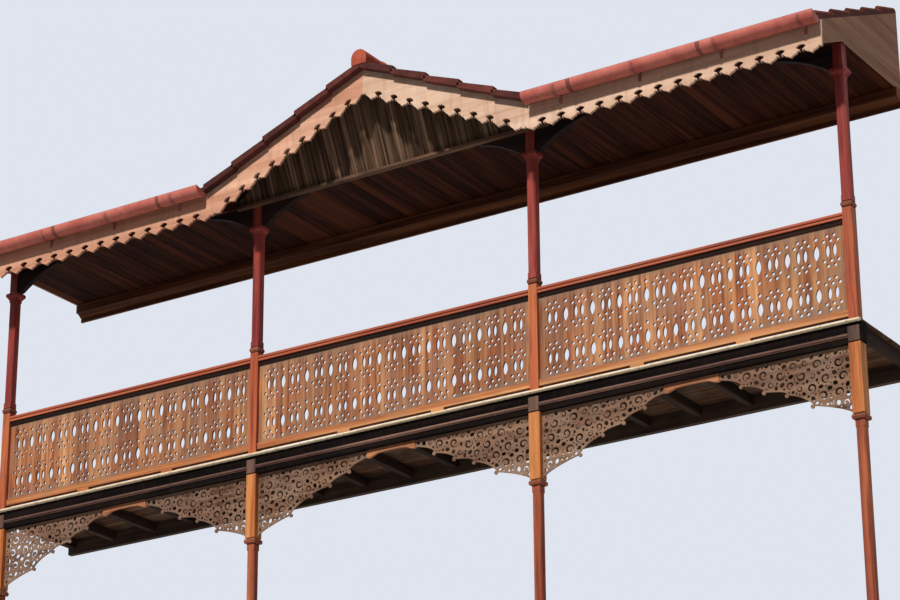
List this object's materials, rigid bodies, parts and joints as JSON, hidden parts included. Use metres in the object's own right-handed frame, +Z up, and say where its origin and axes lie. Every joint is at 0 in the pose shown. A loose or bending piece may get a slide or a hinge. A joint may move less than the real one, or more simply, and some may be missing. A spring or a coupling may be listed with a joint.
{
  "type": "timber gallery with pierced screen balustrade, fretwork spandrels and tiled gable roof",
  "caption": "Projecting timber gallery for a house front, with a pierced-board screen balustrade, fretwork spandrels, posts to the ground and a tiled roof with a front gable.",
  "frame": {"origin": "on the wall face at floor level, in the middle of the middle bay, on the back face of the wall ledger", "axes": "+X along the wall to the right as seen from the street, +Y into the wall, -Y to the street, +Z up"},
  "size_m": [10.05, 1.901, 7.4251],
  "materials": {
    "post_wood": "oiled red-brown hardwood",
    "screen_wood": "weathered orange-tan hardwood",
    "handrail_wood": "stained red-brown hardwood, semi-gloss",
    "fret_wood": "weathered grey-brown hardwood",
    "dark_beam": "near-black stained timber",
    "dark_moulding": "dark brown stained timber",
    "cream_paint": "cream painted timber edge",
    "floor_wood": "bare floor boards",
    "soffit_wood": "dark red-brown varnished boards",
    "eaves_wood": "sun-bleached pink-tan boards",
    "hidden_timber": "sawn brown timber",
    "roof_tile": "dark red-brown fired clay",
    "ridge_tile": "terracotta red fired clay",
    "gutter_paint": "terracotta pink paint on sheet metal"
  },
  "bodies": {
    "root": {"lower_posts": "post_wood", "upper_posts": "post_wood", "wall_ledger": "hidden_timber", "floor_beam": "dark_beam", "beam_pads": "dark_moulding", "beam_moulding": "dark_moulding", "floor_joists": "hidden_timber", "floor_boards": "floor_wood", "floor_nosing": "cream_paint", "rail_blocks": "screen_wood", "bottom_rails": "screen_wood", "pierced_panel_left": "screen_wood", "pierced_panel_middle": "screen_wood", "pierced_panel_right": "screen_wood", "top_rails": "dark_moulding", "handrails": "handrail_wood", "spandrel_1": "fret_wood", "spandrel_2": "fret_wood", "spandrel_3": "fret_wood", "spandrel_4": "fret_wood", "spandrel_5": "fret_wood", "spandrel_6": "fret_wood", "crown_boards": "fret_wood", "top_brackets": "soffit_wood", "soffit": "soffit_wood", "wall_cove": "soffit_wood", "eaves_beam": "hidden_timber", "eave_soffits": "soffit_wood", "eave_cheeks": "soffit_wood", "tympanum": "soffit_wood", "tympanum_ledge": "screen_wood", "roof_ledger": "hidden_timber", "rafters": "hidden_timber", "ridge_and_valleys": "hidden_timber", "end_boards": "soffit_wood", "bargeboard_left": "eaves_wood", "bargeboard_right": "eaves_wood", "fascia_left": "eaves_wood", "fascia_right": "eaves_wood", "roof_left": "roof_tile", "roof_right": "roof_tile", "gable_roof_left": "roof_tile", "gable_roof_right": "roof_tile", "ridge_tiles": "ridge_tile", "gutters": "gutter_paint", "gutter_brackets": "gutter_paint"}
  },
  "joints": []
}
